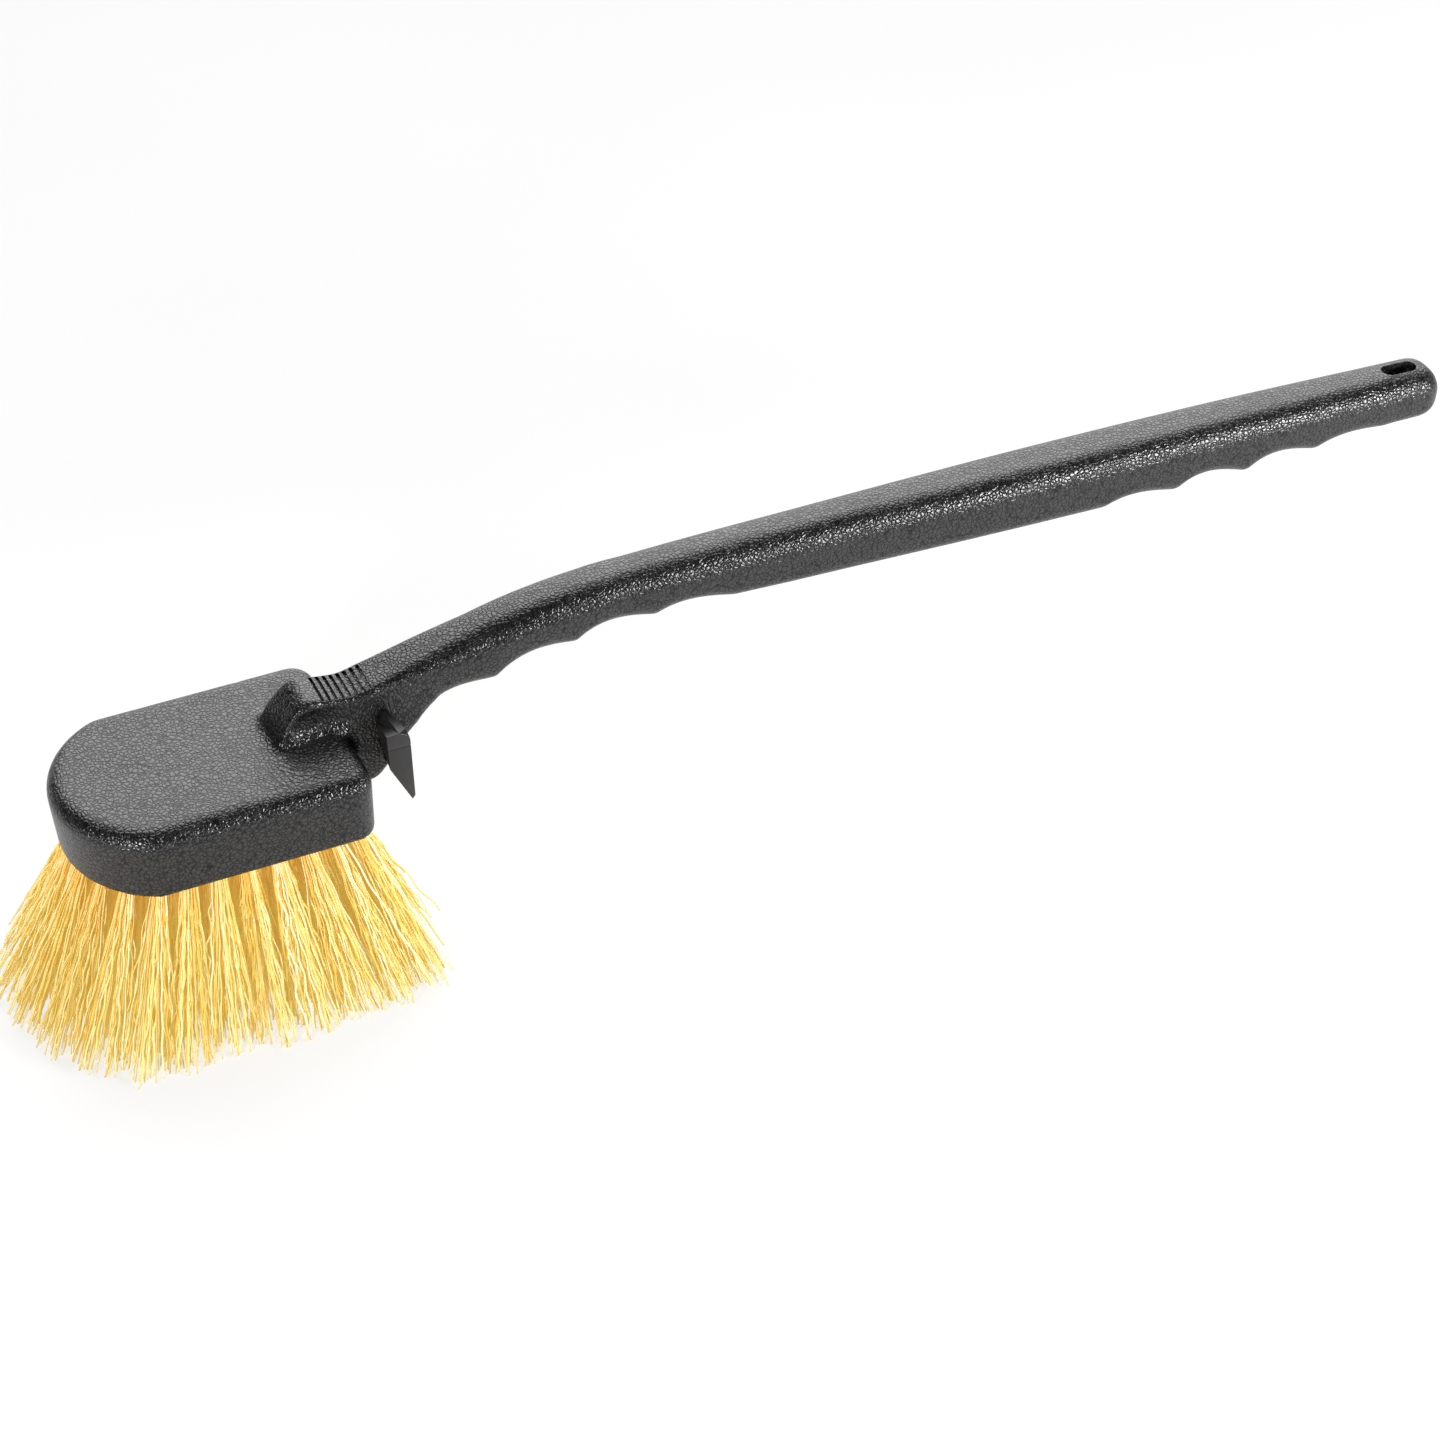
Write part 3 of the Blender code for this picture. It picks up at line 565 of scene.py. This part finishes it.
class Nodes:
    """A small helper to build a material's node tree."""

    def __init__(self, name):
        self.material = bpy.data.materials.new(name)
        self.material.use_nodes = True
        self.tree = self.material.node_tree
        self.shader = self.tree.nodes["Principled BSDF"] if "Principled BSDF" in self.tree.nodes else None

    def node(self, kind, inputs=None, **settings):
        made = self.tree.nodes.new(kind)
        for key, value in settings.items():
            setattr(made, key, value)
        for key, value in (inputs or {}).items():
            if isinstance(value, bpy.types.NodeSocket):
                self.tree.links.new(value, made.inputs[key])
            else:
                made.inputs[key].default_value = value
        return made

    def ramp(self, factor, stops):
        made = self.node("ShaderNodeValToRGB", {"Fac": factor})
        elements = made.color_ramp.elements
        while len(elements) < len(stops):
            elements.new(0.5)
        for element, (position, colour) in zip(elements, stops):
            element.position = position
            element.color = (*colour, 1)
        return made.outputs["Color"]

    def link(self, socket, name):
        self.tree.links.new(socket, self.shader.inputs[name])


def grained_plastic():
    """Black moulded foam plastic with a fine leather grain."""
    n = Nodes("grained_black_plastic")
    where = n.node("ShaderNodeTexCoord").outputs["Object"]
    bend = n.node("ShaderNodeTexNoise", {"Vector": where, "Scale": 420.0, "Detail": 2.0}).outputs["Color"]
    moved = n.node("ShaderNodeVectorMath", {0: bend, 1: (0.0014, 0.0014, 0.0014), 2: where},
                   operation="MULTIPLY_ADD")
    cells = n.node("ShaderNodeTexVoronoi", {"Vector": moved.outputs[0], "Scale": GRAIN_SCALE},
                   feature="DISTANCE_TO_EDGE").outputs["Distance"]
    pebbles = n.ramp(cells, [(0.0, grey(0)), (0.22, grey(0.75)), (0.5, grey(1))])
    fine = n.node("ShaderNodeTexNoise", {"Vector": where, "Scale": 1500.0, "Detail": 3.0}).outputs["Fac"]
    broad = n.node("ShaderNodeTexNoise", {"Vector": where, "Scale": 60.0, "Detail": 3.0}).outputs["Fac"]
    grain = n.node("ShaderNodeBump", {"Height": pebbles, "Strength": 1.0, "Distance": GRAIN_HEIGHT})
    dust = n.node("ShaderNodeBump", {"Height": fine, "Strength": 0.3, "Distance": 0.00006,
                                     "Normal": grain.outputs["Normal"]})
    n.link(dust.outputs["Normal"], "Normal")
    n.link(n.ramp(cells, [(0.0, grey(0.003)), (0.25, (0.007, 0.0068, 0.0072))]), "Base Color")
    n.link(n.ramp(broad, [(0.3, grey(0.27)), (0.7, grey(0.34))]), "Roughness")
    n.link(n.ramp(cells, [(0.0, grey(0.22)), (0.18, grey(0.74))]), "Specular IOR Level")
    return n.material


def smooth_plastic():
    n = Nodes("smooth_black_plastic")
    where = n.node("ShaderNodeTexCoord").outputs["Object"]
    fine = n.node("ShaderNodeTexNoise", {"Vector": where, "Scale": 900.0, "Detail": 3.0}).outputs["Fac"]
    bump = n.node("ShaderNodeBump", {"Height": fine, "Strength": 0.12, "Distance": 0.00005})
    n.link(bump.outputs["Normal"], "Normal")
    n.link(n.ramp(fine, [(0.3, (0.010, 0.009, 0.009)), (0.7, (0.014, 0.0125, 0.0125))]), "Base Color")
    n.link(n.ramp(fine, [(0.3, grey(0.3)), (0.7, grey(0.38))]), "Roughness")
    return n.material


def bristle_material():
    """Yellow filament: each has its own tone, and the tips are paler than the roots. Its emission is painted
    light, orange at the roots and yellow higher up.
    """
    n = Nodes("yellow_filament")
    tint = n.node("ShaderNodeAttribute", attribute_name="tint").outputs["Color"]
    parts = n.node("ShaderNodeSeparateColor", {"Color": tint})
    tone = n.ramp(parts.outputs["Red"], BRISTLE_TONES)
    pale = n.node("ShaderNodeMix", {"Factor": parts.outputs["Green"], 6: tone, 7: BRISTLE_TIP_TONE},
                  data_type="RGBA")
    n.link(pale.outputs[2], "Base Color")
    # Painted light: the filament glows though it is no lamp, orange at the roots and yellow higher up.
    painted_light = n.node("ShaderNodeMix", {"Factor": parts.outputs["Blue"], 6: BRISTLE_ROOT_PAINTED_LIGHT, 7: BRISTLE_PAINTED_LIGHT},
                  data_type="RGBA")
    n.link(painted_light.outputs[2], "Emission Color")
    n.shader.inputs["Emission Strength"].default_value = BRISTLE_PAINTED_LIGHT_STRENGTH
    where = n.node("ShaderNodeTexCoord").outputs["Object"]
    streak = n.node("ShaderNodeTexNoise", {"Vector": where, "Scale": 900.0, "Detail": 2.0}).outputs["Fac"]
    n.link(n.ramp(streak, [(0.3, grey(0.3)), (0.7, grey(0.5))]), "Roughness")
    bump = n.node("ShaderNodeBump", {"Height": streak, "Strength": 0.2, "Distance": 0.00005})
    n.link(bump.outputs["Normal"], "Normal")
    return n.material


def anchor_steel():
    n = Nodes("anchor_steel")
    where = n.node("ShaderNodeTexCoord").outputs["Object"]
    fine = n.node("ShaderNodeTexNoise", {"Vector": where, "Scale": 1200.0, "Detail": 3.0}).outputs["Fac"]
    n.link(n.ramp(fine, [(0.3, (0.42, 0.41, 0.39)), (0.7, (0.56, 0.55, 0.53))]), "Base Color")
    n.link(n.ramp(fine, [(0.3, grey(0.3)), (0.7, grey(0.45))]), "Roughness")
    n.shader.inputs["Metallic"].default_value = 1.0
    return n.material


# ---------------------------------------------------------------- bristles

def tuft_ends(node):
    """A tuft's root centre, tip centre and tip radius, read from its CAD solid."""
    low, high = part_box(node)
    points = np.array([v.co[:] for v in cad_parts[node].data.vertices])
    tips = points[points[:, 2] < low[2] + 0.5 * MM]
    mouth = points[np.abs(points[:, 2] - BODY_LOW[2]) < 0.5 * MM]
    root, tip = mouth.mean(axis=0), tips.mean(axis=0)
    return Vector(root), Vector(tip), np.linalg.norm(tips - tip, axis=1).max()


def filament_line(rng, root, tip, tip_radius, stray):
    """The centre line of one filament, from the anchor in its hole to its cut end."""
    turn, out = rng.uniform(0, 2 * math.pi), math.sqrt(rng.random())
    start = Vector((math.cos(turn), math.sin(turn), 0)) * out
    spread = tip_radius * TIP_SPREAD * (1.5 if stray else 1)
    jitter = Vector((rng.gauss(0, 1), rng.gauss(0, 1), 0)) * 0.9 * MM
    root_at = root + start * (HOLE_RADIUS - CLEARANCE - FILAMENT_RADIUS)
    tip_at = tip + start * spread + jitter
    tip_at.z += abs(rng.gauss(0, 1)) * 0.5 * TRIM_VARIATION
    across = Vector((tip_at.y - root_at.y, root_at.x - tip_at.x, 0))
    across = across.normalized() if across.length > MM else Vector((1, 0, 0))
    turned = across.cross((tip_at - root_at).normalized())
    phase, length = rng.uniform(0, 2 * math.pi), WAVE_LENGTH * rng.uniform(0.8, 1.35)
    plane = rng.uniform(0, math.pi)
    sway = across * math.cos(plane) + turned * math.sin(plane)
    height = WAVE_HEIGHT * rng.uniform(0.3, 1.3) * (1.8 if stray else 1)
    points = [root_at + Vector((0, 0, HOLE_DEPTH * 0.6))]
    steps = 22
    for i in range(steps + 1):
        t = i / steps
        at = root_at.lerp(tip_at, t)
        # The bundle keeps its width for a while before it splays.
        at += start * (HOLE_RADIUS - spread) * (t - t ** 1.18) + jitter * (t ** 2 - t)
        along = t * (tip_at - root_at).length
        at += sway * height * min(1, 4 * t) * math.sin(2 * math.pi * along / length + phase)
        points.append(at)
    return points


def tube(verts, faces, points, radius, sides=3):
    """Adds a thin tube along the points."""
    first = len(verts)
    for i, point in enumerate(points):
        ahead = points[min(i + 1, len(points) - 1)] - points[max(i - 1, 0)]
        ahead.normalize()
        one = ahead.orthogonal().normalized() if i == 0 else (one - ahead * one.dot(ahead)).normalized()
        two = ahead.cross(one)
        for k in range(sides):
            angle = 2 * math.pi * k / sides
            verts.append(point + (one * math.cos(angle) + two * math.sin(angle)) * radius)
    for i in range(len(points) - 1):
        for k in range(sides):
            a, b = first + i * sides + k, first + i * sides + (k + 1) % sides
            faces.append((a, b, b + sides, a + sides))
    faces.append(tuple(first + k for k in reversed(range(sides))))
    faces.append(tuple(first + (len(points) - 1) * sides + k for k in range(sides)))


def tuft(number, node, material):
    """One tuft as a bundle of filaments, each with its own tone."""
    rng = random.Random(1000 + number)
    root, tip, tip_radius = tuft_ends(node)
    count = FILAMENTS_OUTER if number < OUTER_RING else FILAMENTS_INNER
    verts, faces, tints = [], [], []
    for _ in range(count):
        stray = rng.random() < STRAY_SHARE
        line = filament_line(rng, root, tip, tip_radius, stray)
        tube(verts, faces, line, FILAMENT_RADIUS * rng.uniform(0.75, 1.2))
        tone = rng.random()
        # Per point: red picks the filament's tone, green pales the tip, and blue moves the painted light from
        # its orange at the root to its yellow higher up.
        for i in range(len(line)):
            pale = max(0.0, (i / (len(line) - 1) - 0.8) / 0.2) * 0.3
            tints += [(tone, pale, min(1.0, 2.5 * i / len(line)), 1)] * 3
    mesh = bpy.data.meshes.new(node + "_filaments")
    mesh.from_pydata(verts, [], faces)
    colour = mesh.color_attributes.new("tint", "FLOAT_COLOR", "POINT")
    colour.data.foreach_set("color", np.array(tints, dtype=np.float32).ravel())
    mesh.shade_smooth()
    return add(node + "_filaments", mesh, material)


def anchor(node, material):
    """The flat wire staple across the fold of a tuft."""
    root, _, _ = tuft_ends(node)
    bm = bmesh.new()
    size = Matrix.Diagonal((0.6 * MM, 7.2 * MM, 2.4 * MM, 1))
    bmesh.ops.create_cube(bm, size=1, matrix=Matrix.Translation(root + Vector((0, 0, 12.4 * MM))) @ size)
    bmesh.ops.bevel(bm, geom=list(bm.edges), offset=0.15 * MM, segments=2, profile=0.5, affect="EDGES")
    return add(node + "_anchor", mesh_of(node + "_anchor", bm), material)


# ---------------------------------------------------------------- stage

def floor():
    n = Nodes("pale_floor")
    where = n.node("ShaderNodeTexCoord").outputs["Object"]
    mottle = n.node("ShaderNodeTexNoise", {"Vector": where, "Scale": 3.0, "Detail": 2.0}).outputs["Fac"]
    white = n.ramp(mottle, [(0.3, grey(0.27)), (0.7, grey(0.29))])
    n.link(white, "Base Color")
    n.shader.inputs["Roughness"].default_value = 0.9
    n.shader.inputs["Specular IOR Level"].default_value = 0.0
    n.shader.inputs["Emission Color"].default_value = (1, 1, 1, 1)
    n.shader.inputs["Emission Strength"].default_value = FLOOR_GLOW
    bm = bmesh.new()
    bmesh.ops.create_grid(bm, x_segments=1, y_segments=1, size=6)
    plane = add("floor", mesh_of("floor", bm), n.material)
    plane.location.z = CAD_BOX[0][2]


def lamp(name, target, direction, distance, size, power):
    """A soft rectangular lamp, a distance away from its target in a direction."""
    data = bpy.data.lights.new(name, "AREA")
    data.shape = "RECTANGLE"
    data.size, data.size_y = size
    data.energy = power
    light = bpy.data.objects.new(name, data)
    bpy.context.scene.collection.objects.link(light)
    away = Vector(direction).normalized()
    light.location = Vector(target) + away * distance
    light.rotation_euler = away.to_track_quat("Z", "Y").to_euler()


def lighting():
    """A bright studio wall behind and above, a dim room on the near side, and two lamps low in front."""
    world = bpy.data.worlds.new("studio")
    bpy.context.scene.world = world
    world.use_nodes = True
    tree = world.node_tree
    background = tree.nodes["Background"]
    direction = tree.nodes.new("ShaderNodeTexCoord").outputs["Generated"]

    def lobe(axis, reach, low, high):
        """Brightness between low and high, by how closely the direction follows the axis."""
        dot = tree.nodes.new("ShaderNodeVectorMath")
        dot.operation = "DOT_PRODUCT"
        tree.links.new(direction, dot.inputs[0])
        dot.inputs[1].default_value = Vector(axis).normalized()
        spread = tree.nodes.new("ShaderNodeMapRange")
        spread.interpolation_type = "SMOOTHSTEP"
        spread.inputs["From Min"].default_value = math.cos(math.radians(reach[1]))
        spread.inputs["From Max"].default_value = math.cos(math.radians(reach[0]))
        spread.inputs["To Min"].default_value = low
        spread.inputs["To Max"].default_value = high
        tree.links.new(dot.outputs["Value"], spread.inputs["Value"])
        return spread.outputs["Result"]

    back = lobe((0.33, 0.72, 0.61), (22, 46), 0.06, 3.8)
    tree.links.new(back, background.inputs["Strength"])
    background.inputs["Color"].default_value = (1, 1, 1, 1)
    lamp("left_lamp", (-0.22, -0.03, 0.08), (-0.64, -0.64, 0.36), 0.8, (0.2, 0.14), 5.5)
    lamp("right_lamp", (0.3, -0.01, 0.105), (0.33, -0.89, 0.30), 0.7, (0.4, 0.16), 10)
    view = bpy.context.scene.view_settings
    view.view_transform = "Standard"
    view.look = "None"


def camera():
    """Long lens, looking down on the brush from the near side of the nose."""
    azimuth, elevation, roll = math.radians(-25.07), math.radians(39.34), math.radians(0.55)
    distance, target = 1.2227, Vector((BODY_LOW[0] + 0.22785, 0, BODY_LOW[2] + 0.024 - 0.0466))
    forward = Vector((-math.sin(azimuth) * math.cos(elevation), math.cos(azimuth) * math.cos(elevation),
                      -math.sin(elevation)))
    right = Vector((math.cos(azimuth), math.sin(azimuth), 0))
    up = right.cross(forward)
    right, up = (math.cos(roll) * right + math.sin(roll) * up, math.cos(roll) * up - math.sin(roll) * right)
    data = bpy.data.cameras.new("camera")
    data.sensor_width = 36
    data.lens = 90.5
    data.clip_end = 20
    eye = bpy.data.objects.new("camera", data)
    bpy.context.scene.collection.objects.link(eye)
    pose = Matrix((right, up, -forward)).transposed().to_4x4()
    pose.translation = target - forward * distance
    eye.matrix_world = pose
    bpy.context.scene.camera = eye


def main():
    black, smooth_black = grained_plastic(), smooth_plastic()
    yellow, steel = bristle_material(), anchor_steel()
    body = moulding(black)
    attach(body, "root")
    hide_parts("block_and_handle")
    for number, node in enumerate(TUFT_NODES):
        bundle = tuft(number, node, yellow)
        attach(bundle, "root")
        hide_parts(node)
        staple = anchor(node, steel)
        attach(staple, "root")
    blade = scraper(smooth_black)
    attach(blade, "root")
    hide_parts("scraper")
    floor()
    lighting()
    camera()


main()
